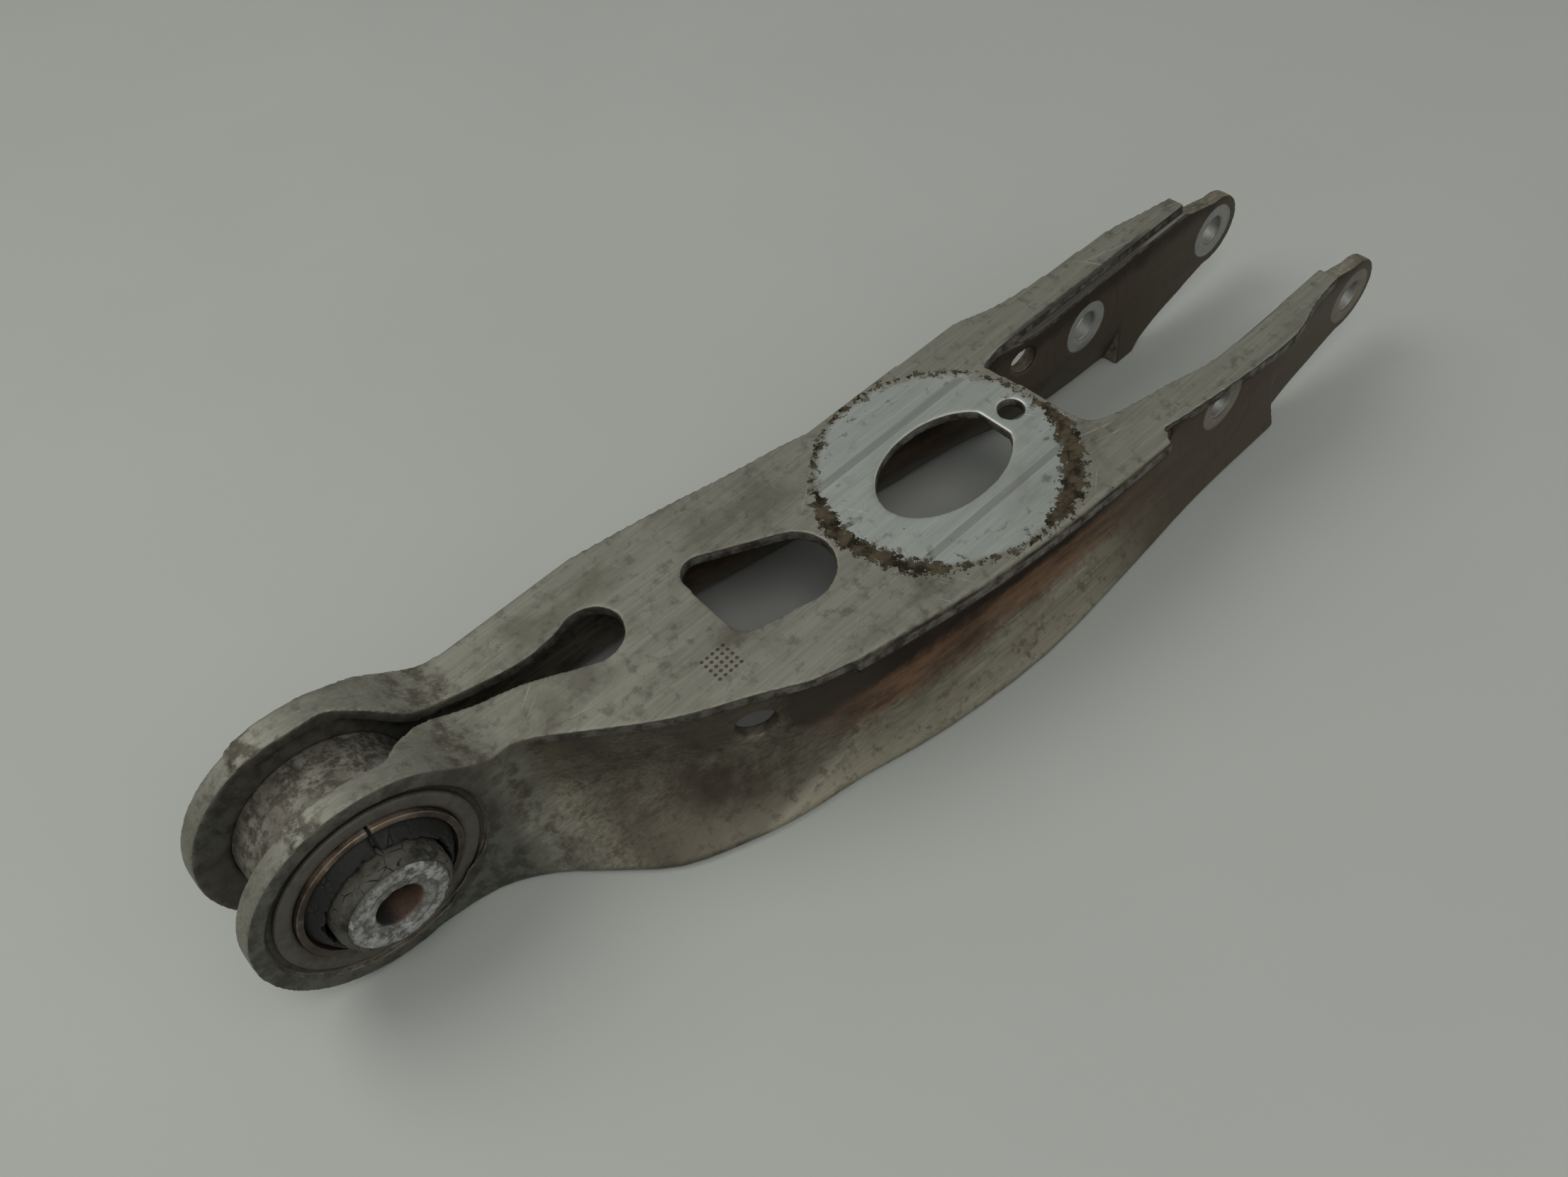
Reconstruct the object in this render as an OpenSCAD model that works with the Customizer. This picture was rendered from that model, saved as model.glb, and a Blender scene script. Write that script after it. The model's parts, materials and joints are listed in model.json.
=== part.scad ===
// Rear lower spring link: one-piece aluminium arm with a pressed-in rubber-metal bush.
// Frame: origin in the middle of the bush bore, +X to the fork, +Y along the bush bore, +Z up.

/* [Arm body] */
// Length from the bush axis to the fork tip holes
arm_len = 437.5; // [380:0.5:500]
// Height of the top face of the spring plate above the bush axis
top_z = 17.6; // [14:0.1:22]
// Height of the section under the bush axis, down to the floor
floor_d = 45.7; // [40:0.1:52]
// Thickness of the spring plate
plate_t = 5; // [3.5:0.1:7]
// Thickness of the side walls
wall_t = 6.7; // [5:0.1:8.5]
// Sideways shift of the fork centre line against the bush
fork_dy = -52.2; // [-60:0.1:-44]
// Depth of the rounded lip left on the edge of the spring plate
lip_h = 9; // [6:0.5:12]

/* [Fork] */
// Clear width between the two fork arms
fork_gap = 61.1; // [52:0.1:70]
// Bore of the tip holes, for an M12 bolt
tip_bore_d = 12.4; // [10.4:0.1:14.4]
// Bore of the middle holes, for an M12 bolt
mid_bore_d = 12.4; // [10.4:0.1:14.4]
// Distance from the tip holes back to the middle holes
mid_back = 87; // [75:0.5:100]
// Bore of the holes beside the fork root
root_bore_d = 12; // [8:0.1:14]
// Radius of the rounded fork tips
tip_r = 16.4; // [14:0.1:20]
// Radius of the bolt contact faces
spot_r = 12.5; // [10:0.5:13.5]
// Depth of the bolt contact faces
spot_t = 0.4; // [0.2:0.1:1]

/* [Spring seat] */
// Radius of the spring seat
seat_r = 47.5; // [42:0.5:50]
// Distance from the bush axis to the middle of the spring seat
seat_x = 240; // [230:0.5:250]
// Half length of the oval seat opening
oval_a = 29.5; // [24:0.5:34]
// Half width of the oval seat opening
oval_b = 20; // [16:0.5:24]
// Diameter of the locating hole for the spring pad
pilot_d = 10.4; // [8:0.1:13]
// Depth of the clean machined seat
seat_t = 0.4; // [0.2:0.1:1]

/* [Bush end] */
// Radius of the two ears round the bush
ear_r = 45.7; // [42:0.1:48]
// Width over the two ears
ear_w = 46.6; // [40:0.1:54]
// Thickness of one ear
ear_t = 8.8; // [7:0.1:11]
// Outer diameter of the bush sleeve
sleeve_d = 63.6; // [58:0.1:68]
// Wall of the bush sleeve
sleeve_t = 2; // [1.5:0.1:3]
// Width of the collar that stops the sleeve against the near ear
collar_w = 4.5; // [3:0.1:6]
// Wall of the slotted half shells
shell_t = 2.6; // [1.2:0.1:3]
// Width of the slits between the half shells
slit_w = 1.6; // [1:0.1:3]
// Outer diameter of the inner sleeve
core_d = 35.6; // [30:0.1:40]
// Bore of the inner sleeve, for an M16 bolt
core_bore_d = 16.3; // [12.3:0.1:18.3]
// Length of the inner sleeve
core_len = 69.2; // [60:0.1:76]
// Depth of the grooves in the rubber ends
groove_t = 13; // [6:0.5:17]

/* [Hidden] */
press_fit = 0;        // sleeve and ear bore share one diameter
bonded = 0;           // rubber is moulded on to both metal parts
sleeve_r = sleeve_d / 2;
shell_r = sleeve_r - sleeve_t - press_fit;
rub_r = shell_r - shell_t - bonded;
core_r = core_d / 2;
rub_t = rub_r - core_r;
ear_y = ear_w / 2;
zf = -floor_d;        // height of the flange feet
z_in = top_z - plate_t;  // underside of the spring plate
half_in = fork_gap / 2;
half_out = half_in + wall_t;
flange_t = 4.6;       // thickness of the wall's flared foot
flare_z = -14;        // height at which the walls start to flare
ramp_x = 56;          // where the ramp from the ears meets the plate
collar_r = sleeve_r + collar_w;
collar_t = 2.2;       // thickness of the sleeve's collar
recess_r = collar_r + 2.9;
recess_t = collar_t + 0.4;
slit_a = 13;          // the slits lean this many degrees from upright
coat_reach = 9.2;     // rubber on the inner sleeve, past the ear face
lip_reach = 4.6;      // torn lip of the rubber, past the ear face
chamfer = 1;
step_x = arm_len - 50;        // the flanges end here
flange_end = arm_len - 23.5;  // the plate's edge bands end here
root_x = arm_len - 148.5;     // bottom of the fork
tip_z = -9.5;
mid_z = -6;
mid_x = arm_len - mid_back;
root_z = 2;
root_hole_x = arm_len - 125.5;
wall_hole = [124.4, -66, -4];  // bolt hole in the near wall, where it meets the outer face
wall_hole_d = 15.5;
wall_hole_turn = 25.5;        // the hole is square to the wall, which slants by this
bevel = 1.2;                  // depth of the bevel round that hole
seat_y = fork_dy + 8.2;       // the seat's middle line
pilot_x = seat_x + 37;
past = 60;                    // cutters run this far to each side
k = arm_len - 437.5;          // stretch of the straight part by the fork
$fn = 96;

// smooth curve through a few points, n steps between neighbours
function cr(a, b, c, d, t) = 0.5 * ((2 * b) + (c - a) * t + (2 * a - 5 * b + 4 * c - d) * t * t
    + (3 * b - a - 3 * c + d) * t * t * t);
function crv(p, n) = let (m = len(p)) concat([for (i = [0 : m - 2]) for (j = [0 : n - 1])
    cr(p[max(i - 1, 0)], p[i], p[i + 1], p[min(i + 2, m - 1)], j / n)], [p[m - 1]]);
function arc2(c, r, a0, a1, n) = [for (i = [0 : n]) c + r * [cos(a0 + (a1 - a0) * i / n), sin(a0 + (a1 - a0) * i / n)]];

// wall stations: distance along X, outer wall face, outer flange edge
near_w = [[4, -ear_y, -ear_y], [28, -ear_y, -27], [46, -ear_y, -37], [62, -25, -52], [80, -37, -68],
    [103, -53.5, -78], [124.5, -66, -84.5], [150, -76, -89], [185, -82, -97], [235, -86, -102],
    [290 + k / 2, fork_dy - half_out + 0.6, -99], [335 + k, fork_dy - half_out, -95.5],
    [step_x, fork_dy - half_out, fork_dy - half_out - 5.2]];
far_w = [[4, ear_y, ear_y], [30, ear_y, ear_y + 2], [60, ear_y, 28], [90, 23, 33], [118, 21.5, 33],
    [150, 15.5, 29], [180, 9.5, 22.5], [210, 4, 16.5], [250, -2, 9.5], [290 + k / 2, -9.5, 3.5],
    [318 + k, fork_dy + half_out - 0.4, -4.5], [345 + k, fork_dy + half_out, -8.6],
    [step_x, fork_dy + half_out, fork_dy + half_out + 5.2]];

// one section of a wall with its bell-mouth flange; s = -1 near side, +1 far side
function flare(z, zt, zb) = pow(max(0, (zt - z) / (zt - zb)), 1.55);
function wsec(q, s) = let (x = q[0], w = q[1], f = q[2], e = s * (f - w), zl = zf + 3.4)
    concat(
        [[x, w, z_in + 1], [x, w, flare_z]],
        [for (i = [1 : 6]) let (z = flare_z + (zl - flare_z) * i / 6) [x, w + s * e * flare(z, flare_z, zl), z]],
        [[x, f - s * 0.3, zf + 1.4], [x, f - s * 1.4, zf]],
        [[x, f - s * flange_t, zf]],
        [for (i = [1 : 8]) let (z = zf + (flare_z - 3 - zf) * i / 8)
            [x, w - s * wall_t + s * (e + wall_t - flange_t) * flare(z, flare_z - 3, zf), z]],
        [[x, w - s * wall_t, z_in + 1]]);
// closed skin over a row of sections; the second half of each section runs back along the first
module sweep(st) {
    m = len(st[0]);
    n = len(st);
    sides = [for (i = [0 : n - 2]) for (j = [0 : m - 1]) let (j2 = (j + 1) % m)
        each [[i * m + j, i * m + j2, (i + 1) * m + j2], [i * m + j, (i + 1) * m + j2, (i + 1) * m + j]]];
    caps = [for (j = [0 : m / 2 - 2]) each [[m - 1 - j, m - 2 - j, j + 1, j],
        [for (p = [j, j + 1, m - 2 - j, m - 1 - j]) (n - 1) * m + p]]];
    polyhedron([for (a = st) each a], concat(sides, caps));
}
module near_wall() { mirror([0, 1, 0]) sweep([for (q = crv(near_w, 3)) wsec([q[0], -q[1], -q[2]], 1)]); }
module far_wall() { sweep([for (q = crv(far_w, 3)) wsec(q, 1)]); }

// rounded lip: natural edge of the plate, turned down
function lipsec(x, y) = let (r = 3.2, h = lip_h)
    [for (p = concat([[-12, -0.4]], arc2([-r, -r], r, 90, 0, 5), arc2([-r + 0.2, -h + 3], 3, 0, -60, 2),
        arc2([-r - 0.2, -h + 3], 3, 240, 180, 2), [[-6.4, -plate_t - 1], [-6.6, -plate_t], [-7, -plate_t + 0.4],
        [-8, -plate_t + 0.4], [-9, -plate_t + 0.4], [-10.5, -plate_t + 0.4], [-12, -plate_t + 0.4]]))
        [x, y + p[0], top_z + p[1]]];
near_lip = [[157, -83.5], [185, -89], [215, -93.8], [245, -96.6], [275, -98.2], [303, -99]];
far_lip = [[214, -7.4], [232, -6.8], [262, -6.1], [284, -5.3], [301, -3.6]];
module lips() {
    mirror([0, 1, 0]) sweep([for (q = crv([for (p = near_lip) [p[0], -p[1]]], 3)) lipsec(q[0], q[1])]);
    sweep([for (q = crv(far_lip, 3)) lipsec(q[0], q[1])]);
}

// plan view of the spring plate and the two ear flanges
near_edge = [[-12, -ear_y - 0.4], [15, -ear_y - 0.4], [40, -ear_y + 1], [52, -22], [63, -26.5], [78, -38],
    [100, -54.5], [125, -68], [142, -77.5], [156, -82]];
near_mid = [[160, -83], [215, -92], [260, -95], [302, -96], [305, -92.6], [318 + k, -94.6], [350 + k, -98.4],
    [378 + k, -99.4], [396 + k, -95], [flange_end, fork_dy - half_out - 3.4]];
far_edge = [[flange_end, fork_dy + half_out + 3], [396 + k, -8.6], [380 + k, -5.6], [342 + k, -4], [318 + k, -1.6],
    [306, 1.5], [298, 4], [280, 4.6], [216, 5.4]];
far_left = [[205, 8.2], [181, 12.6], [155, 18.4], [128, 23.2], [110, 25.4], [62, 25.2], [44, 29], [34, 28.6], [22, 25.4],
    [-12, ear_y + 0.6]];
far_slot = [[-12, ear_y - ear_t - 0.4], [6, ear_y - ear_t - 1.6], [18, 14], [27, 10.2], [38, 6.4], [50, 7.4], [60, 5],
    [72, 2], [82, 0.6], [92, 1.4]];
near_slot = [[93, -16.5], [86, -13], [74, -6.8], [60, -2.2], [47, 1.8], [38, 0.2], [28, -8.4], [19, -14.6],
    [-12, -ear_y + ear_t + 0.6]];
module plate_2d() {
    difference() {
        polygon(concat(crv(near_edge, 4), crv(near_mid, 3), [[flange_end, fork_dy - half_in - 1.4]],
            crv([[372 + k, fork_dy - half_in - 2.4], [345 + k, fork_dy - half_in - 1.2], [326 + k, -79.6],
                [308 + k, -76], [297 + k, -73], [root_x + 2.2, -69.4], [root_x + 0.6, -64]], 4),
            [[root_x, -40], [root_x - 2, fork_dy + half_in + 0.4], [298 + k, fork_dy + half_in + 2.6],
            [flange_end, fork_dy + half_in + 1.8]],
            crv(far_edge, 3), crv(far_left, 4), crv(far_slot, 4),
            arc2([102, -8], 11.8, 118, -122, 18), crv(near_slot, 4)));
        oval_2d();
        window_2d();
        translate([pilot_x, seat_y]) circle(d = pilot_d);
    }
}
module oval_2d() {
    intersection() {
        translate([seat_x + 0.5, seat_y]) scale([oval_a, oval_b]) circle(r = 1);
        translate([seat_x - 40, fork_dy - 40]) square([67.5, 100]);
    }
}
module window_2d() {
    hull() {
        translate([146, -16]) circle(r = 7.5);
        translate([146.2, -40.5]) circle(r = 8.4);
        translate([169, -38]) circle(r = 16);
    }
}
// side view of the rim over the ears and the ramp that leads down to the plate
rim_line = concat(arc2([0, 0], ear_r, 108, 45, 16),
    crv([[ear_r * cos(45), ear_r * sin(45)], [37.4, 27], [42.6, 22.4], [48.6, 19], [ramp_x, top_z]], 3));
rim_in = concat(arc2([0, 0], ear_r - plate_t, 108, 45, 16),
    crv([[(ear_r - plate_t) * cos(45), (ear_r - plate_t) * sin(45)], [33.6, 23.6], [39.4, 18.6], [46.6, 14.6],
        [ramp_x, z_in]], 3));
module along_y(y0, y1) { translate([0, y1, 0]) rotate([90, 0, 0]) linear_extrude(y1 - y0) children(); }
// plate plus the part that climbs over the ears
module skin() {
    translate([0, 0, z_in]) linear_extrude(plate_t) intersection() {
        plate_2d();
        translate([ramp_x - 1, -150]) square([450 + k, 300]);
    }
    intersection() {
        translate([0, 0, -5]) linear_extrude(60) intersection() {
            plate_2d();
            translate([-12, -60]) square([ramp_x + 12, 120]);
        }
        along_y(-60, 60) polygon(concat(rim_line, [for (i = [len(rim_in) - 1 : -1 : 0]) rim_in[i]]));
    }
}
// fills the corner between an ear and the wall below the ramp
module ramp_web(y0, y1) {
    along_y(y0, y1) polygon(concat([for (p = rim_line) if (p[0] > 18) p - [0, 0.6]], [[ramp_x, 0], [18, 0]]));
}
module ycyl(r, y0, y1) { translate([0, y0, 0]) rotate([-90, 0, 0]) cylinder(r = r, h = y1 - y0); }
module ybore(x, z, d, y0, y1) { translate([x, y0, z]) rotate([-90, 0, 0]) cylinder(d = d, h = y1 - y0); }

// bolt hole through the near wall, bevelled on the outside
module wall_bolt_hole() {
    translate(wall_hole) rotate([90, 0, -wall_hole_turn]) {
        translate([0, 0, -3 * wall_t]) cylinder(d = wall_hole_d, h = 6 * wall_t);
        translate([0, 0, -bevel]) cylinder(r1 = wall_hole_d / 2, r2 = wall_hole_d / 2 + 5 * bevel, h = 3 * bevel);
    }
}

// side view of the fork arms from the step to the tip
tip_c = [arm_len, tip_z];
function on_tip(a) = tip_c + tip_r * [cos(a), sin(a)];
function tip_side() = concat([[step_x - 12, z_in + 1]],
    crv([[flange_end, z_in + 1], [flange_end + 3.5, 11.6], [flange_end + 9, 10], [flange_end + 15, 8.6], on_tip(98)], 3),
    arc2(tip_c, tip_r, 92, -94, 26),
    crv([on_tip(-100), [flange_end + 10.2, -28.7], [flange_end + 1.7, -31.6], [flange_end - 7.1, -34],
        [flange_end - 14.6, -36.9], [step_x + 4, -40.9], [step_x + 0.8, zf + 1]], 3),
    [[step_x, zf], [step_x - 12, zf]]);
module tip(y0) {
    translate([0, y0 + wall_t, 0]) rotate([90, 0, 0]) linear_extrude(wall_t) polygon(tip_side());
}

module arm_body() {
    color([0.62, 0.62, 0.58])
    difference() {
        union() {
            skin();
            near_wall();
            far_wall();
            lips();
            tip(fork_dy - half_out);
            tip(fork_dy + half_in);
            ycyl(ear_r - 0.8, -ear_y, -ear_y + ear_t);
            ycyl(ear_r - 0.8, ear_y - ear_t, ear_y);
            ramp_web(-ear_y, -ear_y + wall_t);
            ramp_web(ear_y - wall_t, ear_y);
        }
        // room between the ears
        ycyl(ear_r - plate_t - 0.01, -ear_y + ear_t, ear_y - ear_t);
        // bush seat through both ears, with a turned recess for the collar
        ycyl(sleeve_r, -past, past);
        ycyl(recess_r, -ear_y - 0.1, -ear_y + recess_t);
        // fork bores
        ybore(arm_len, tip_z, tip_bore_d, fork_dy - past, fork_dy + past);
        ybore(mid_x, mid_z, mid_bore_d, fork_dy - past, fork_dy + past);
        ybore(root_hole_x, root_z, root_bore_d, fork_dy - past, fork_dy + past);
        for (q = [[arm_len, tip_z], [mid_x, mid_z]])
            ybore(q[0], q[1], 2 * spot_r, fork_dy - half_in - spot_t, fork_dy + half_in + spot_t);
        wall_bolt_hole();
        // contact faces outside the near fork arm
        for (q = [[mid_x, mid_z], [root_hole_x, root_z]])
            ybore(q[0], q[1], 2 * spot_r + 1, fork_dy - half_out - 20, fork_dy - half_out);
        // clean turned seat for the spring
        translate([seat_x - 1, seat_y, top_z - seat_t]) cylinder(r = seat_r, h = 5);
    }
}

// everything in the bush is turned about the Y axis: profiles are [radius, place along -Y]
module turned(profile) { rotate([90, 0, 0]) rotate_extrude() polygon(profile); }
module bush_outer_sleeve() {
    n = ear_y - recess_t;
    color([0.66, 0.65, 0.6])
    turned(concat([[shell_r, -ear_y], [sleeve_r - 0.6, -ear_y], [sleeve_r, -ear_y + 0.6], [sleeve_r, n], [collar_r, n],
        [collar_r, n + collar_t - 1.6]], arc2([collar_r - 1.6, n + collar_t - 1.6], 1.6, 15, 90, 5),
        [[sleeve_r - 0.2, n + collar_t], [shell_r, n + collar_t - 1.2]]));
}
module shell(a) {
    difference() {
        ycyl(shell_r, -ear_y - 0.5, ear_y + 0.5);
        ycyl(rub_r, -past, past);
        rotate([0, a, 0]) translate([-slit_w / 2, -past, -past]) cube(2 * past);
    }
}
module bush_half_shell_a() { color([0.5, 0.46, 0.4]) shell(slit_a); }
module bush_half_shell_b() { color([0.5, 0.46, 0.4]) shell(slit_a + 180); }

// half of the rubber's outline, from the inner sleeve out to the half shells
rub_half = [[core_r, ear_y + coat_reach + chamfer], [core_r + 0.27 * rub_t, ear_y + coat_reach],
    [core_r + 0.31 * rub_t, ear_y + coat_reach - 3], [core_r + 0.31 * rub_t, ear_y - groove_t],
    [core_r + 0.42 * rub_t, ear_y - groove_t - 1], [core_r + 0.43 * rub_t, ear_y + lip_reach - chamfer],
    [core_r + 0.5 * rub_t, ear_y + lip_reach], [core_r + 0.62 * rub_t, ear_y + lip_reach - chamfer],
    [rub_r - 0.12 * rub_t, ear_y - 0.7], [rub_r, ear_y - 1.6]];
module bush_rubber() {
    color([0.08, 0.08, 0.09])
    turned(concat(rub_half, [for (i = [len(rub_half) - 1 : -1 : 0]) [rub_half[i][0], -rub_half[i][1]]]));
}
// half of the inner sleeve's outline, from the bore out to its outer face
core_half = [[core_bore_d / 2, core_len / 2 - 1.6], [core_bore_d / 2 + 1, core_len / 2 - 0.5],
    [core_bore_d / 2 + 3, core_len / 2 - 0.5], [core_bore_d / 2 + 3.6, core_len / 2], [core_r - chamfer, core_len / 2],
    [core_r, core_len / 2 - chamfer]];
module bush_inner_sleeve() {
    color([0.7, 0.69, 0.66])
    turned(concat(core_half, [for (i = [len(core_half) - 1 : -1 : 0]) [core_half[i][0], -core_half[i][1]]]));
}

arm_body();
bush_outer_sleeve();
bush_half_shell_a();
bush_half_shell_b();
bush_rubber();
bush_inner_sleeve();
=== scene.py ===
# %% [markdown]
# # An aluminium spring link, from a fixed CAD frame to a worn used part
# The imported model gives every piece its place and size. Blender adds what a
# drawing leaves out: edges that are worn round, cracked rubber, a corroded
# sleeve, grime that sits where the spring pad and the road dirt left it.

# %% Load the fixed frame
import json
import math

import bmesh
import bpy
import numpy as np
from mathutils import Matrix, Vector, noise


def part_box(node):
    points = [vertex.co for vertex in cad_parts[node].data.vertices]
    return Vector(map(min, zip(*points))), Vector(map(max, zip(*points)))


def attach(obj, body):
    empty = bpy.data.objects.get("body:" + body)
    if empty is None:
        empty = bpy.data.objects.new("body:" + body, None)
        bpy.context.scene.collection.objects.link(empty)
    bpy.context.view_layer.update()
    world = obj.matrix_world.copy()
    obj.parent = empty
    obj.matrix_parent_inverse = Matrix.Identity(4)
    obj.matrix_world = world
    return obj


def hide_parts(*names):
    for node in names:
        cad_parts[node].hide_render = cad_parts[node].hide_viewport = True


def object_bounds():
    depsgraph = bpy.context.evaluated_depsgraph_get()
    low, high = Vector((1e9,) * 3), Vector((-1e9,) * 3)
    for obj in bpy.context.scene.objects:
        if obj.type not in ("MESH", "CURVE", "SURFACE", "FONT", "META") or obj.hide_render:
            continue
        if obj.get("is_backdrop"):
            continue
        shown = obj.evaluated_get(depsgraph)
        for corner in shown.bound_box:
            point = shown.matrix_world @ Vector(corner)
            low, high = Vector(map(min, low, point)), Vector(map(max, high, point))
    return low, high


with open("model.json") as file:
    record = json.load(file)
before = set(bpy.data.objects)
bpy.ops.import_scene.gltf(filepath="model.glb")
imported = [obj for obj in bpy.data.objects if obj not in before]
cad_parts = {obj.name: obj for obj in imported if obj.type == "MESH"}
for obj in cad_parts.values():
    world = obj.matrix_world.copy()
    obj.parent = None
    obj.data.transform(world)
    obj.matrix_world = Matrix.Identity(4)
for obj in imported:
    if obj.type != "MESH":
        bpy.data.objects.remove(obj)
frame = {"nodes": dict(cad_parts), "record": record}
cad_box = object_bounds()
floor_z = cad_box[0].z
MM = 0.001
print("nodes", sorted(frame["nodes"]), "floor", round(floor_z, 4))

# %% [markdown]
# The frame's mounts already say where the bolt holes and the spring seat are,
# so the marks that belong to them are measured from there, save the seat's
# place along the arm and its radius, which are given numbers.

# %% Places that the marks and finishes are measured from
mounts = {m["name"]: m for m in frame["record"]["mounts"]}


def place_mm(name):
    return [c / MM for c in mounts[name]["pos_m"]]


tip_mm = place_mm("fork_tip_bore")
mid_mm = place_mm("fork_mid_bore")
seat_centre_x = 239.0
seat_mm = [seat_centre_x, place_mm("pad_pilot_hole")[1], place_mm("spring_seat")[2]]
seat_radius = 47.5
print("tip", tip_mm, "mid", mid_mm, "seat", seat_mm)

# %% [markdown]
# ## Finishes
# Dirt, grain and wear turn up in every metal here, so each is a node group
# with named sockets, built once and given its own numbers in each material.


# %% Helpers for shader trees
def new_group(name, inputs, outputs):
    tree = bpy.data.node_groups.new(name, "ShaderNodeTree")
    for label, kind, value in inputs:
        s = tree.interface.new_socket(label, in_out="INPUT", socket_type=kind)
        s.default_value = value
    for label, kind in outputs:
        tree.interface.new_socket(label, in_out="OUTPUT", socket_type=kind)
    return tree, tree.nodes.new("NodeGroupInput"), tree.nodes.new("NodeGroupOutput")


def plug(tree, socket, value):
    """Gives a socket a link or a plain value."""
    if isinstance(value, bpy.types.NodeSocket):
        tree.links.new(value, socket)
    else:
        socket.default_value = value


def math_node(tree, op, *values, clamp=False):
    n = tree.nodes.new("ShaderNodeMath")
    n.operation = op
    n.use_clamp = clamp
    for s, v in zip(n.inputs, values):
        plug(tree, s, v)
    return n.outputs[0]


def plus(tree, a, b, clamp=False):
    return math_node(tree, "ADD", a, b, clamp=clamp)


def minus(tree, a, b, clamp=False):
    return math_node(tree, "SUBTRACT", a, b, clamp=clamp)


def times(tree, *values):
    out = values[0]
    for v in values[1:]:
        out = math_node(tree, "MULTIPLY", out, v)
    return out


def mixed(tree, factor, a, b):
    """Goes from colour a to colour b as the factor goes from 0 to 1."""
    n = tree.nodes.new("ShaderNodeMix")
    n.data_type = "RGBA"
    plug(tree, n.inputs[0], factor)
    plug(tree, n.inputs[6], a)
    plug(tree, n.inputs[7], b)
    return n.outputs[2]


def laid_over(tree, base, top, *masks):
    """Lays the top colour over the base where every mask is high."""
    return mixed(tree, times(tree, *masks), base, top)


def ramp(tree, value, low, high):
    """0 at low, 1 at high, smooth between; low may be the larger one."""
    n = tree.nodes.new("ShaderNodeMapRange")
    n.interpolation_type = "SMOOTHSTEP"
    flip = low > high
    plug(tree, n.inputs["Value"], value)
    n.inputs["From Min"].default_value = min(low, high)
    n.inputs["From Max"].default_value = max(low, high)
    n.inputs["To Min"].default_value = 1.0 if flip else 0.0
    n.inputs["To Max"].default_value = 0.0 if flip else 1.0
    return n.outputs[0]


def noise_node(tree, vector, scale, detail=6.0, rough=0.6, distortion=0.0):
    n = tree.nodes.new("ShaderNodeTexNoise")
    plug(tree, n.inputs["Vector"], vector)
    plug(tree, n.inputs["Scale"], scale)
    n.inputs["Detail"].default_value = detail
    n.inputs["Roughness"].default_value = rough
    n.inputs["Distortion"].default_value = distortion
    return n.outputs["Fac"]


def scaled(tree, vector, x, y, z):
    n = tree.nodes.new("ShaderNodeMapping")
    plug(tree, n.inputs["Vector"], vector)
    n.inputs["Scale"].default_value = (x, y, z)
    return n.outputs[0]


def xyz(tree, vector):
    n = tree.nodes.new("ShaderNodeSeparateXYZ")
    plug(tree, n.inputs[0], vector)
    return n.outputs


def rgb(r, g, b):
    return (r, g, b, 1.0)


print("shader helpers ready")


# %% [markdown]
# Drawn aluminium carries fine lines along the way it was extruded. Stretching
# a noise a hundred times along one axis gives those lines for colour,
# roughness and bump together.


# %% Drawn grain
def make_grain():
    t, i, o = new_group(
        "DrawnGrain",
        [("Vector", "NodeSocketVector", (0, 0, 0)), ("Fineness", "NodeSocketFloat", 900.0)],
        [("Lines", "NodeSocketFloat"), ("Blotches", "NodeSocketFloat")],
    )
    lines = noise_node(t, scaled(t, i.outputs[0], 0.035, 1, 1), i.outputs[1], 5, 0.65)
    bands = noise_node(t, scaled(t, i.outputs[0], 0.02, 1, 1), 160.0, 3, 0.5)
    both = plus(t, times(t, lines, 0.65), times(t, bands, 0.35))
    blotches = noise_node(t, scaled(t, i.outputs[0], 0.6, 1, 1), 34.0, 8, 0.62, 0.4)
    t.links.new(both, o.inputs[0])
    t.links.new(blotches, o.inputs[1])
    return t


grain = make_grain()
print(grain.name, len(grain.nodes), "nodes")


# %% [markdown]
# Years on the road leave pits: small dark dots in clusters. A Voronoi cell
# distance gives the dots, and a broad noise decides where they gather.


# %% Pits and specks
def make_pits():
    t, i, o = new_group(
        "Pits",
        [
            ("Vector", "NodeSocketVector", (0, 0, 0)),
            ("Spacing", "NodeSocketFloat", 260.0),
            ("Amount", "NodeSocketFloat", 0.5),
        ],
        [("Mask", "NodeSocketFloat")],
    )
    v = t.nodes.new("ShaderNodeTexVoronoi")
    t.links.new(i.outputs[0], v.inputs["Vector"])
    t.links.new(i.outputs[1], v.inputs["Scale"])
    wide = noise_node(t, i.outputs[0], 45.0, 5, 0.6)
    size = times(t, minus(t, wide, minus(t, 1.0, i.outputs[2])), 0.9)
    dot = minus(t, size, v.outputs["Distance"])
    t.links.new(ramp(t, dot, 0.0, 0.08), o.inputs[0])
    return t


pits = make_pits()
print(pits.name, len(pits.nodes), "nodes")


# %% [markdown]
# Handling leaves scratches at chance angles. Each direction is a noise
# squeezed to thin lines, and a broad noise keeps only a few of them.


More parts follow.
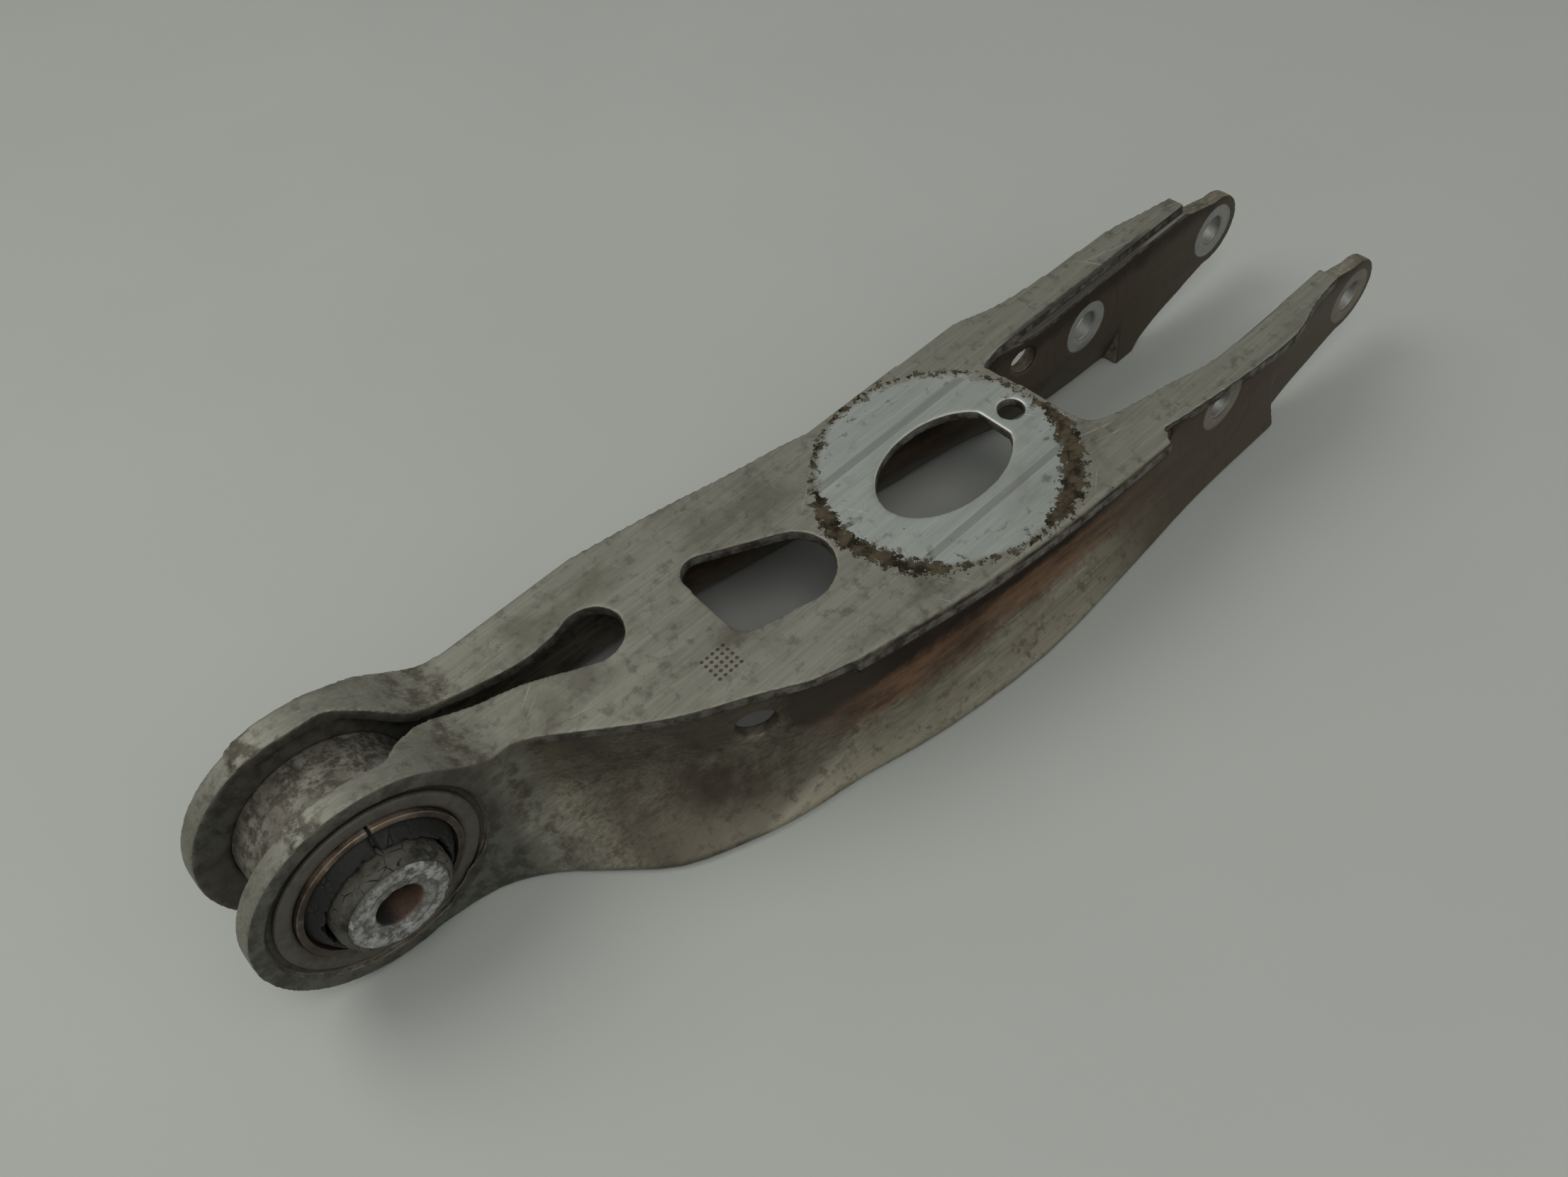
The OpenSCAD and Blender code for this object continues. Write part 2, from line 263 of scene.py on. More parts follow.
# %% Scratches
def make_scratches():
    t, i, o = new_group(
        "Scratches",
        [("Vector", "NodeSocketVector", (0, 0, 0)), ("Amount", "NodeSocketFloat", 0.5)],
        [("Mask", "NodeSocketFloat")],
    )
    total = 0.0
    for turn_deg, shift in ((18, 0.0), (-37, 3.1), (64, 7.7)):
        n = t.nodes.new("ShaderNodeMapping")
        t.links.new(i.outputs[0], n.inputs["Vector"])
        n.inputs["Rotation"].default_value = (0, math.radians(shift), math.radians(turn_deg))
        n.inputs["Location"].default_value = (shift, shift, shift)
        line = noise_node(t, scaled(t, n.outputs[0], 0.03, 1, 1), 620.0, 2, 0.4)
        few = noise_node(t, n.outputs[0], 38.0, 3, 0.5)
        limit = minus(t, 0.80, times(t, i.outputs[1], times(t, few, 0.3)))
        thin = math_node(t, "MULTIPLY", minus(t, line, limit), 22.0, clamp=True)
        total = math_node(t, "MAXIMUM", total, thin)
    t.links.new(total, o.inputs[0])
    return t


scratches = make_scratches()
print(scratches.name, len(scratches.nodes), "nodes")


# %% [markdown]
# Edge wear reads the mesh itself: pointiness is high on outer edges, where
# hands and bolts rub the metal bright, and low in corners, where grime stays.


# %% Edge wear and corner grime
def make_wear():
    t, i, o = new_group(
        "EdgeWear",
        [
            ("Vector", "NodeSocketVector", (0, 0, 0)),
            ("Edge", "NodeSocketFloat", 0.53),
            ("Corner", "NodeSocketFloat", 0.47),
        ],
        [("Worn", "NodeSocketFloat"), ("Dirty", "NodeSocketFloat")],
    )
    g = t.nodes.new("ShaderNodeNewGeometry")
    rub = noise_node(t, i.outputs[0], 120.0, 6, 0.6)
    fade = 0.05
    point = plus(t, g.outputs["Pointiness"], times(t, minus(t, rub, 0.5), 0.12))
    worn = math_node(t, "DIVIDE", minus(t, point, i.outputs[1]), fade, clamp=True)
    dirty = math_node(t, "DIVIDE", minus(t, i.outputs[2], point), fade, clamp=True)
    t.links.new(worn, o.inputs[0])
    t.links.new(dirty, o.inputs[1])
    return t


wear = make_wear()
print(wear.name, len(wear.nodes), "nodes")


# %% [markdown]
# Marks left by one bolt head or one spring are rings round a point, so one
# group gives the distance from an axis, in millimetres, and each material
# cuts its own rings from that distance.


# %% Distance from an axis
def make_axis_distance():
    t, i, o = new_group(
        "AxisDistance",
        [
            ("Vector mm", "NodeSocketVector", (0, 0, 0)),
            ("Centre mm", "NodeSocketVector", (0, 0, 0)),
            ("Plane", "NodeSocketVector", (1, 0, 1)),
        ],
        [("Distance", "NodeSocketFloat")],
    )
    sub = t.nodes.new("ShaderNodeVectorMath")
    sub.operation = "SUBTRACT"
    t.links.new(i.outputs[0], sub.inputs[0])
    t.links.new(i.outputs[1], sub.inputs[1])
    flat = t.nodes.new("ShaderNodeVectorMath")
    flat.operation = "MULTIPLY"
    t.links.new(sub.outputs[0], flat.inputs[0])
    t.links.new(i.outputs[2], flat.inputs[1])
    size = t.nodes.new("ShaderNodeVectorMath")
    size.operation = "LENGTH"
    t.links.new(flat.outputs[0], size.inputs[0])
    t.links.new(size.outputs["Value"], o.inputs[0])
    return t


axis_distance = make_axis_distance()
about_y, about_z = (1, 0, 1), (1, 1, 0)
print(axis_distance.name, len(axis_distance.nodes), "nodes")


# %% [markdown]
# Every material starts the same way: one shader with its metal and roughness
# set on its own sockets, and coordinates in the object's own frame, so that
# the finish turns with the piece.


# %% Start of a material, and small wrappers
def new_material(name, metallic, rough):
    m = bpy.data.materials.new(name)
    m.use_nodes = True
    t = m.node_tree
    shader = t.nodes["Principled BSDF"]
    shader.inputs["Metallic"].default_value = metallic
    shader.inputs["Roughness"].default_value = rough
    where = t.nodes.new("ShaderNodeTexCoord").outputs["Object"]
    return m, t, shader, where


def use_group(t, tree, *values):
    n = t.nodes.new("ShaderNodeGroup")
    n.node_tree = tree
    for s, v in zip(n.inputs, values):
        plug(t, s, v)
    return n.outputs


def band(t, value, low, high, soft):
    """1 between low and high, fading over soft."""
    up = ramp(t, value, low - soft, low + soft)
    down = ramp(t, value, high + soft, high - soft)
    return math_node(t, "MULTIPLY", up, down)


def bumped(t, shader, height, distance, strength=1.0):
    b = t.nodes.new("ShaderNodeBump")
    b.inputs["Strength"].default_value = strength
    b.inputs["Distance"].default_value = distance
    t.links.new(height, b.inputs["Height"])
    t.links.new(b.outputs[0], shader.inputs["Normal"])


print("material wrappers ready")

# %% [markdown]
# ## The arm's aluminium
# One extrusion, but many histories: a grey plate, a cleaner disc under the
# spring, brown walls, dark milled edges, bright rings where bolt heads sat.
# They could be painted on by hand, but paint belongs to one mesh. Masks over
# place and facing fit any mesh, so each finish is laid over the last in turn.

# %% Coordinates and noises for the arm
arm_metal, t, shader, where = new_material("arm_aluminium", 0.55, 0.55)
shader.inputs["Specular IOR Level"].default_value = 0.1
at_mm = scaled(t, where, 1000, 1000, 1000)
x, y, z = xyz(t, at_mm)
_, ny, nz = xyz(t, t.nodes.new("ShaderNodeNewGeometry").outputs["Normal"])
lines, blotches = use_group(t, grain, where, 900.0)
worn, dirty = use_group(t, wear, where, 0.56, 0.45)
specks = use_group(t, pits, where, 300.0, 0.47)[0]
scratch = use_group(t, scratches, where, 0.45)[0]
big_noise = noise_node(t, where, 22.0, 7, 0.62, 0.3)
fine_noise = noise_node(t, where, 190.0, 6, 0.65)
ragged = minus(t, noise_node(t, where, 85.0, 7, 0.7), 0.5)


def wavy(value, reach):
    """Shifts a coordinate in mm by the ragged noise, so no edge is straight."""
    return plus(t, value, times(t, ragged, reach))


x_wavy = wavy(x, 26.0)
z_wavy = wavy(z, 14.0)
print("coordinates and noises,", len(t.nodes), "nodes")

# %% [markdown]
# A zone of the arm is known by its height, its place along the arm and the
# way it faces. Each mask is 1 inside its zone and fades at the zone's edge.

# %% Zones of the arm, in mm
plate_rise, foot_fall = (12.0, 14.0), (-24.0, -38.0)
ear_fall, fork_rise, fork_fade = (52.0, 40.0), (288.0, 296.0), (262.0, 322.0)
upright = ramp(t, math_node(t, "ABSOLUTE", ny), 0.5, 0.8)
side = ramp(t, math_node(t, "ABSOLUTE", nz), 0.5, 0.25)
on_plate = times(t, ramp(t, nz, 0.55, 0.85), ramp(t, z, *plate_rise))
outer_near = ramp(t, ny, -0.15, -0.4)
flange = times(t, ramp(t, z, *foot_fall), ramp(t, x, 50.0, 100.0))
fork_zone = ramp(t, x, *fork_rise)
fork = times(t, ramp(t, x_wavy, *fork_fade), upright)
ear = times(t, ramp(t, x, *ear_fall), upright)
print("zones,", len(t.nodes), "nodes")

# %% [markdown]
# The plate is olive grey, with lines along the arm, dark blotches and pale
# scratches. Oily smudges lie where hands and tools touched it.

# %% Plate
plate = mixed(t, ramp(t, lines, 0.2, 0.8), rgb(0.165, 0.162, 0.132), rgb(0.27, 0.268, 0.226))
plate = laid_over(t, plate, rgb(0.115, 0.108, 0.082), ramp(t, blotches, 0.5, 0.72), 0.7)
plate = laid_over(t, plate, rgb(0.075, 0.068, 0.052), ramp(t, fine_noise, 0.5, 0.7), 0.55)
plate = laid_over(t, plate, rgb(0.4, 0.4, 0.36), scratch, 0.35)
smudges = (
    ((88, -22, 15), 12.0), ((135, -44, 15), 10.0), ((196, -78, 15), 9.0),
    ((300, -30, 15), 11.0), ((184, -6, 15), 20.0),
)
for centre, radius in smudges:
    away = wavy(use_group(t, axis_distance, at_mm, centre, about_z)[0], 38.0)
    plate = laid_over(t, plate, rgb(0.085, 0.076, 0.058), ramp(t, away, radius, 0.0), 0.55)
print("plate with", len(smudges), "smudges")

# %% [markdown]
# The walls are browner and dirtier than the plate. Their flared foot stays
# paler, most of all where it has been rubbed, and dirt sticks in its grain.

# %% Walls and their flared foot
wall = mixed(t, ramp(t, lines, 0.3, 0.7), rgb(0.12, 0.105, 0.078), rgb(0.33, 0.305, 0.24))
wall = laid_over(t, wall, rgb(0.1, 0.082, 0.06), ramp(t, big_noise, 0.44, 0.62), 0.7)
wall = laid_over(t, wall, rgb(0.06, 0.048, 0.036), ramp(t, fine_noise, 0.5, 0.66), 0.5)
foot_metal = mixed(t, lines, rgb(0.15, 0.135, 0.1), rgb(0.36, 0.335, 0.265))
wall = laid_over(t, wall, foot_metal, flange, 0.8)
rubbed_foot = times(t, flange, band(t, x, 95.0, 160.0, 22.0), ramp(t, z, -32.0, -40.0))
rubbed_metal = mixed(t, lines, rgb(0.24, 0.215, 0.155), rgb(0.46, 0.43, 0.34))
wall = laid_over(t, wall, rubbed_metal, rubbed_foot, 0.7)
wall = laid_over(t, wall, rgb(0.085, 0.06, 0.04), flange, ramp(t, fine_noise, 0.5, 0.66), 0.6)
print("walls,", len(t.nodes), "nodes")

# %% [markdown]
# Under the plate's lip the near wall is black: soot, and a painted shadow of the
# lip over it. A rusty streak runs along the dark band's lower edge. Old oil has
# spread nearer the bush. The inside of the channel is painted dark all along as shade.

# %% Soot with painted lip shadow, old oil, rust and painted channel shade
along_soot_and_shadow = times(t, outer_near, ramp(t, x_wavy, 129.0, 135.0), ramp(t, x, 400.0, 370.0))
# shade: painted shadow of the lip, mixed with real soot, on the near wall
shade = times(t, along_soot_and_shadow, band(t, z_wavy, -16.0, 18.0, 3.5))
soot_and_painted_shadow = mixed(t, fine_noise, rgb(0.008, 0.006, 0.005), rgb(0.03, 0.02, 0.015))
wall = laid_over(t, wall, soot_and_painted_shadow, shade, 0.95)
old_oil = times(t, outer_near, band(t, x_wavy, 96.0, 130.0, 8.0), band(t, z_wavy, -34.0, -18.0, 4.0))
wall = laid_over(t, wall, rgb(0.045, 0.034, 0.026), old_oil, ramp(t, big_noise, 0.4, 0.55), 0.7)
along_rust = times(t, outer_near, ramp(t, x_wavy, 136.0, 160.0), ramp(t, x, 350.0, 310.0))
rust = times(t, along_rust, band(t, z_wavy, -25.0, -12.0, 3.5))
streak = noise_node(t, scaled(t, where, 0.18, 1, 1), 150.0, 6, 0.7)
brown = mixed(t, ramp(t, streak, 0.36, 0.62), rgb(0.06, 0.036, 0.025), rgb(0.2, 0.108, 0.062))
wall = laid_over(t, wall, brown, rust, 0.8)
# painted shade: the channel's inner walls are darkened all along in place of the shade inside it
channel_painted_shade = times(t, band(t, y, -80.0, 14.0, 2.0), ramp(t, x, 60.0, 75.0), ramp(t, x, 300.0, 285.0))
wall = laid_over(t, wall, rgb(0.06, 0.05, 0.038), channel_painted_shade, 0.55)
print("near wall,", len(t.nodes), "nodes")

# %% [markdown]
# The fork's walls are bare brown metal. A turning bolt head has left arcs
# round the middle hole: the sine of the distance from the hole draws them.

# %% Fork walls
fork_metal = mixed(t, big_noise, rgb(0.11, 0.088, 0.062), rgb(0.27, 0.235, 0.18))
wall = laid_over(t, wall, fork_metal, fork, 0.75)
around_mid = use_group(t, axis_distance, at_mm, mid_mm, about_y)[0]
arcs = ramp(t, math_node(t, "SINE", around_mid), 0.3, 0.9)
swirl = times(t, fork, arcs, band(t, around_mid, 14.0, 27.0, 1.0), ramp(t, big_noise, 0.4, 0.6))
wall = laid_over(t, wall, rgb(0.05, 0.038, 0.027), swirl, 0.3)
wall = laid_over(t, wall, rgb(0.045, 0.032, 0.024), fork, outer_near, 0.6)
# painted shadow: the fork walls go near black just under the top plate, where its overhang shades them
wall = laid_over(t, wall, rgb(0.03, 0.022, 0.017), fork, ramp(t, z_wavy, 0.0, 9.0), 0.75)
colour = mixed(t, on_plate, wall, plate)
print("fork,", len(t.nodes), "nodes")

# %% [markdown]
# The plate's milled edges have gone dark and rough. The ears have flat grey
# faces; the recess round the bush collar has darker metal and a painted shadow,
# and the strip over their round tops has the plate's colour with two old marks.

# %% Milled edges and ears
milled = mixed(t, ramp(t, fine_noise, 0.35, 0.65), rgb(0.04, 0.036, 0.03), rgb(0.17, 0.16, 0.14))
edge = times(t, side, band(t, z, 12.2, 17.0, 0.5))
colour = laid_over(t, colour, milled, edge, 0.8)
ear_grey = mixed(t, ramp(t, fine_noise, 0.35, 0.65), rgb(0.062, 0.06, 0.05), rgb(0.14, 0.137, 0.118))
ear_grey = laid_over(t, ear_grey, rgb(0.09, 0.078, 0.058), ramp(t, big_noise, 0.46, 0.6), 0.5)
colour = laid_over(t, colour, ear_grey, ear, 0.92)
bush = use_group(t, axis_distance, at_mm, (0, 0, 0), about_y)[0]
# painted shadow over darker metal in the ear's recess round the collar
recess_shadow_and_dark_metal = times(t, ear, band(t, bush, 36.0, 39.4, 0.4), ramp(t, y, -15.0, -19.0))
colour = laid_over(t, colour, rgb(0.04, 0.036, 0.03), recess_shadow_and_dark_metal, 0.5)
strip = times(t, ramp(t, bush, 42.5, 44.0), ramp(t, x, 66.0, 52.0), minus(t, 1.0, ear))
colour = laid_over(t, colour, plate, strip, 0.85)
stain = times(t, strip, band(t, x_wavy, 38.0, 58.0, 5.0), ramp(t, fine_noise, 0.4, 0.6))
colour = laid_over(t, colour, rgb(0.075, 0.058, 0.04), stain, 0.6)
old_mark = times(t, strip, band(t, x_wavy, -13.0, -4.0, 2.0), ramp(t, fine_noise, 0.42, 0.56))
colour = laid_over(t, colour, rgb(0.045, 0.038, 0.028), old_mark, 0.75)
print("edges and ears,", len(t.nodes), "nodes")

# %% [markdown]
# A painted shadow runs along the far fork arm's rounded inner edge.

# %% Painted shadow along the far fork arm's inner edge
# painted shadow: a near black band along the far arm's inner top edge
inner_edge_painted_shadow = times(t, on_plate, band(t, x, 304.0, 388.0, 8.0), band(t, wavy(y, 3.0), -24.0, -17.6, 0.8))
colour = laid_over(t, colour, rgb(0.034, 0.034, 0.032), inner_edge_painted_shadow, 0.85)
print("shoulder,", len(t.nodes), "nodes")

# %% [markdown]
# The spring pad kept its seat clean, so the metal there is brighter and
# bluer. Crumbs of dirt cling towards its rim.

# %% Clean metal on the spring seat
seat = use_group(t, axis_distance, at_mm, seat_mm, about_z)[0]
seat_wavy = wavy(seat, 7.0)
clean = times(t, on_plate, ramp(t, seat_wavy, seat_radius, seat_radius - 3.0))
clean_metal = mixed(t, ramp(t, lines, 0.2, 0.8), rgb(0.33, 0.35, 0.325), rgb(0.48, 0.505, 0.47))
clean_metal = laid_over(t, clean_metal, rgb(0.23, 0.23, 0.2), ramp(t, blotches, 0.5, 0.68), 0.5)
crust = times(t, ramp(t, fine_noise, 0.56, 0.66), ramp(t, seat, 30.0, 45.0))
clean_metal = laid_over(t, clean_metal, rgb(0.06, 0.046, 0.03), crust, 0.75)
clean_metal = laid_over(t, clean_metal, rgb(0.5, 0.5, 0.47), scratch, 0.35)
colour = mixed(t, clean, colour, clean_metal)
print("seat,", len(t.nodes), "nodes")

# %% [markdown]
# Dirt packed against the pad has left a ring, widest in two directions. The
# cosine of the angle sets its width, and a fine noise crumbles its edge. Two
# shallow grooves from the extrusion cross the seat.

# %% Packed dirt and grooves
angle = math_node(t, "ARCTAN2", minus(t, y, seat_mm[1]), minus(t, x, seat_mm[0]))
width = 0.7
for heading, spread, extra in ((190, 0.62, 3.2), (-48, 0.7, 3.8)):
    toward = math_node(t, "COSINE", minus(t, angle, math.radians(heading)))
    width = plus(t, width, times(t, ramp(t, toward, spread, 0.95), extra))
crumbs = times(t, minus(t, noise_node(t, where, 330.0, 4, 0.75), 0.47), 17.0)
off_rim = plus(t, math_node(t, "ABSOLUTE", minus(t, seat_wavy, seat_radius + 0.3)), crumbs)
dirt_ring = times(t, on_plate, ramp(t, minus(t, width, off_rim), -0.4, 0.4))
dirt = mixed(t, ramp(t, fine_noise, 0.35, 0.62), rgb(0.014, 0.011, 0.007), rgb(0.075, 0.06, 0.038))
colour = mixed(t, dirt_ring, colour, dirt)
both_grooves = plus(t, band(t, y, -20.2, -16.8, 0.5), band(t, y, -71.6, -68.4, 0.5), clamp=True)
groove = times(t, clean, both_grooves)
colour = laid_over(t, colour, rgb(0.14, 0.14, 0.125), groove, 0.4)
print("dirt ring,", len(t.nodes), "nodes")

# %% [markdown]
# Bolt heads pressed bright rings round the fork holes, and their shanks kept
# the bores clean. The far arm's rings are brighter than the near arm's.

# %% Bolt rings and bores
rings, bores = 0.0, 0.0
for centre, radius in ((tip_mm, 12.5), (mid_mm, 12.0)):
    away = use_group(t, axis_distance, at_mm, centre, about_y)[0]
    pressed = times(t, ramp(t, wavy(away, 1.6), radius, radius - 0.6), side)
    rings = math_node(t, "MAXIMUM", rings, pressed)
    bores = math_node(t, "MAXIMUM", bores, times(t, ramp(t, away, 6.9, 6.4), fork_zone))
far_ring = times(t, rings, fork_zone, ramp(t, y, -60.0, -40.0))
near_ring = times(t, rings, fork_zone, ramp(t, y, -60.0, -80.0))
near_metal = mixed(t, fine_noise, rgb(0.13, 0.11, 0.085), rgb(0.34, 0.31, 0.26))
far_metal = mixed(t, fine_noise, rgb(0.22, 0.225, 0.215), rgb(0.42, 0.43, 0.41))
bore_metal = mixed(t, fine_noise, rgb(0.1, 0.1, 0.095), rgb(0.4, 0.4, 0.38))
colour = laid_over(t, colour, near_metal, near_ring, 0.8)
colour = mixed(t, far_ring, colour, far_metal)
colour = mixed(t, bores, colour, bore_metal)
print("bolt rings,", len(t.nodes), "nodes")

# %% [markdown]
# Such arms carry a patch of punched dots. Here it is a plain square grid that
# says nothing: the fractional part of x and y repeats one dot in every cell.

# %% A plain grid of punched dots
dot_gap, dots_a_side = 2.4, 5.0
column = math_node(t, "DIVIDE", minus(t, x, 120.0), dot_gap)
row = math_node(t, "DIVIDE", minus(t, y, -56.0), dot_gap)
across = minus(t, math_node(t, "FRACT", column), 0.5)
along = minus(t, math_node(t, "FRACT", row), 0.5)
from_dot = math_node(t, "SQRT", plus(t, times(t, across, across), times(t, along, along)))
in_columns = band(t, column, 0.0, dots_a_side, 0.01)
in_rows = band(t, row, 0.0, dots_a_side, 0.01)
grid = times(t, on_plate, in_columns, in_rows, ramp(t, from_dot, 0.3, 0.2))
colour = laid_over(t, colour, rgb(0.05, 0.035, 0.022), grid, 0.8)
print("dots,", len(t.nodes), "nodes")

# %% [markdown]
# Last come the things that cover every zone: dust, specks, grime in the
# corners and bright worn edges. Soiled metal and the painted lip shadow are also
# rougher and less metallic, and the same masks lift or sink the surface a little.

# %% Dust, wear and the finished surface
dust = use_group(t, pits, where, 700.0, 0.54)[0]
colour = laid_over(t, colour, rgb(0.065, 0.05, 0.034), dust, 0.55)
colour = laid_over(t, colour, rgb(0.035, 0.022, 0.015), specks, 0.85)
less_on_fork = minus(t, 1.0, times(t, fork_zone, 0.7))
colour = laid_over(t, colour, rgb(0.04, 0.033, 0.026), dirty, less_on_fork, 0.75)
colour = laid_over(t, colour, rgb(0.46, 0.46, 0.42), worn, 0.5)
t.links.new(colour, shader.inputs["Base Color"])

# this mask also holds the painted lip shadow, made less metallic so it reads darker
soil_and_shadow = math_node(t, "MAXIMUM", math_node(t, "MAXIMUM", dirt_ring, dirty), shade)
bright = math_node(t, "MAXIMUM", math_node(t, "MAXIMUM", clean, far_ring), worn)
metal = minus(t, 0.62, times(t, soil_and_shadow, 0.6), clamp=True)
metal = plus(t, metal, times(t, bright, 0.2), clamp=True)
t.links.new(metal, shader.inputs["Metallic"])
rough = plus(t, 0.46, times(t, blotches, 0.18))
rough = plus(t, rough, times(t, soil_and_shadow, 0.3), clamp=True)
t.links.new(minus(t, rough, times(t, bright, 0.12)), shader.inputs["Roughness"])

height = times(t, lines, 0.25)
height = plus(t, height, times(t, fine_noise, 0.25))
for sunk, depth in ((specks, 0.7), (groove, 1.2), (grid, 1.6), (scratch, 0.5)):
    height = minus(t, height, times(t, sunk, depth))
height = plus(t, height, times(t, dirt_ring, fine_noise, 3.0))
bumped(t, shader, height, 0.00022)
print(arm_metal.name, len(arm_metal.node_tree.nodes), "nodes")

# %% [markdown]
# ## The arm itself
# The CAD solid has knife-sharp edges. A real forging or extrusion that has
# been sawn, milled and driven for years has none. Rebuilding a copy of the
# skin with fine voxels and relaxing it a little rounds every edge and fills
# every inner corner by the same small amount, which also gives pointiness
# something true to read.


# %% Round every edge of the arm
def rounded_copy(node, name, voxel, passes):
    source = frame["nodes"][node]
    mesh = source.data.copy()
    mesh.materials.clear()
    obj = bpy.data.objects.new(name, mesh)
    bpy.context.scene.collection.objects.link(obj)
    bm = bmesh.new()
    bm.from_mesh(mesh)
    bmesh.ops.remove_doubles(bm, verts=bm.verts, dist=1e-5)
    bm.to_mesh(mesh)
    bm.free()
    remesh = obj.modifiers.new("voxels", "REMESH")
    remesh.mode = "VOXEL"
    remesh.voxel_size = voxel
    relax = obj.modifiers.new("relax", "SMOOTH")
    relax.factor = 0.5
    relax.iterations = passes
    done = obj.evaluated_get(bpy.context.evaluated_depsgraph_get())
    obj.data = bpy.data.meshes.new_from_object(done)
    obj.modifiers.clear()
    obj.data.shade_smooth()
    return obj


arm_voxel = 0.0008
arm = rounded_copy("arm_body", "arm_skin", arm_voxel, 6)
arm.data.materials.append(arm_metal)
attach(arm, "arm")
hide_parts("arm_body")
print(arm.name, len(arm.data.polygons), "faces")

# %% [markdown]
# ## The bush
# A rubber-metal bush is turned round one axis, so each of its pieces is a
# profile swept round that axis. The profile's corners are cut into small arcs
# first. What time did to it comes after, as small moves of single points.


# %% Turned pieces from rounded profiles
def rounded_profile(points, radius, steps=4):
    """Replaces each corner of a closed outline, in mm, by a short curve."""
    out = []
    count = len(points)
    for i in range(count):
        before, here, after = (Vector(points[(i + k) % count]) for k in (-1, 0, 1))
        a, b = before - here, after - here
        cut = min(radius, a.length * 0.45, b.length * 0.45)
        p, q = here + a.normalized() * cut, here + b.normalized() * cut
        for s in range(steps + 1):
            f = s / steps
            out.append(p.lerp(here, f).lerp(here.lerp(q, f), f))
    return out


def densify(points, gap):
    out = []
    for i, p in enumerate(points):
        q = points[(i + 1) % len(points)]
        n = max(1, int((q - p).length / gap))
        out += [p.lerp(q, s / n) for s in range(n)]
    return out


def turn(name, profile, steps, start=0.0, sweep=360.0, wobble=None):
    """Sweeps a closed (radius, y) outline in mm round the Y axis."""
    bm = bmesh.new()
    whole = sweep >= 360.0
    rings = []
    for s in range(steps if whole else steps + 1):
        a = math.radians(start + sweep * s / steps)
        ring = []
        for r, y in profile:
            p = Vector((r * math.cos(a), y, r * math.sin(a)))
            if wobble:
                p = wobble(p, r, y, a)
            ring.append(bm.verts.new(p * MM))
        rings.append(ring)
    count = len(profile)
    for s in range(steps):
        one, two = rings[s], rings[(s + 1) % len(rings)]
        for i in range(count):
            j = (i + 1) % count
            bm.faces.new((one[i], one[j], two[j], two[i]))
    if not whole:
        bm.faces.new(rings[0])
        bm.faces.new(rings[-1][::-1])
    bmesh.ops.recalc_face_normals(bm, faces=bm.faces)
    mesh = bpy.data.meshes.new(name)
    bm.to_mesh(mesh)
    bm.free()
    mesh.shade_smooth()
    obj = bpy.data.objects.new(name, mesh)
    bpy.context.scene.collection.objects.link(obj)
    return obj


def noise_at(p, scale, seed=0.0):
    return noise.noise(Vector((p.x * scale + seed, p.y * scale, p.z * scale)))


def node_box_mm(node):
    lo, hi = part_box(node)
    return Vector(lo) / MM, Vector(hi) / MM


sleeve_lo, sleeve_hi = node_box_mm("bush_outer_sleeve")
_, core_hi = node_box_mm("bush_inner_sleeve")
_, shell_hi = node_box_mm("bush_half_shell_a")
print("sleeve from", sleeve_lo, "to", sleeve_hi)

# %% [markdown]
# ### Outer sleeve
# The drum between the ears is plain aluminium tube, oxidised to a speckled
# grey-brown. Its collar stops it in the near ear, with a rolled outer edge.


# %% Sleeve material and piece
def make_sleeve_material():
    m, t, shader, where = new_material("sleeve_aluminium", 0.4, 0.6)
    blotches = use_group(t, grain, where, 500.0)[1]
    specks = use_group(t, pits, where, 420.0, 0.56)[0]
    worn, dirty = use_group(t, wear, where, 0.56, 0.44)
    cloud = noise_node(t, where, 240.0, 8, 0.75)
    patch = noise_node(t, where, 60.0, 6, 0.6)
    colour = mixed(t, ramp(t, cloud, 0.4, 0.62), rgb(0.075, 0.065, 0.05), rgb(0.27, 0.26, 0.215))
    colour = laid_over(t, colour, rgb(0.11, 0.095, 0.072), ramp(t, patch, 0.46, 0.62), 0.7)
    colour = laid_over(t, colour, rgb(0.05, 0.038, 0.028), specks, 0.7)
    collar = ramp(t, xyz(t, where)[1], -0.0195, -0.0205)
    collar_grey = mixed(t, patch, rgb(0.04, 0.035, 0.028), rgb(0.13, 0.12, 0.098))
    colour = laid_over(t, colour, collar_grey, collar, 0.85)
    colour = laid_over(t, colour, rgb(0.03, 0.024, 0.018), dirty, 0.7)
    colour = laid_over(t, colour, rgb(0.4, 0.39, 0.36), worn, 0.4)
    t.links.new(colour, shader.inputs["Base Color"])
    t.links.new(plus(t, 0.5, times(t, blotches, 0.25)), shader.inputs["Roughness"])
    height = minus(t, times(t, cloud, 0.6), times(t, specks, 0.6))
    bumped(t, shader, height, 0.0002)
    return m


sleeve_metal = make_sleeve_material()
sleeve_out, sleeve_in, collar_out = 31.8, 29.8, sleeve_hi.x
collar_front, collar_back = sleeve_lo.y, sleeve_lo.y + 2.2
sleeve_profile = [
    (sleeve_in, sleeve_hi.y), (sleeve_out, sleeve_hi.y), (sleeve_out, collar_back),
    (collar_out, collar_back), (collar_out, collar_front), (sleeve_out, collar_front),
    (sleeve_in, collar_front + 1.2),
]
sleeve = turn("outer_sleeve", rounded_profile(sleeve_profile, 1.0), 180)
sleeve.data.materials.append(sleeve_metal)
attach(sleeve, "arm")
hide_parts("bush_outer_sleeve")
print(sleeve.name, len(sleeve.data.polygons), "faces")

# %% [markdown]
# ### Slotted half shells
# Two half rings stiffen the rubber. Their split edges are worn to bare metal,
# and two narrow slits show between them.


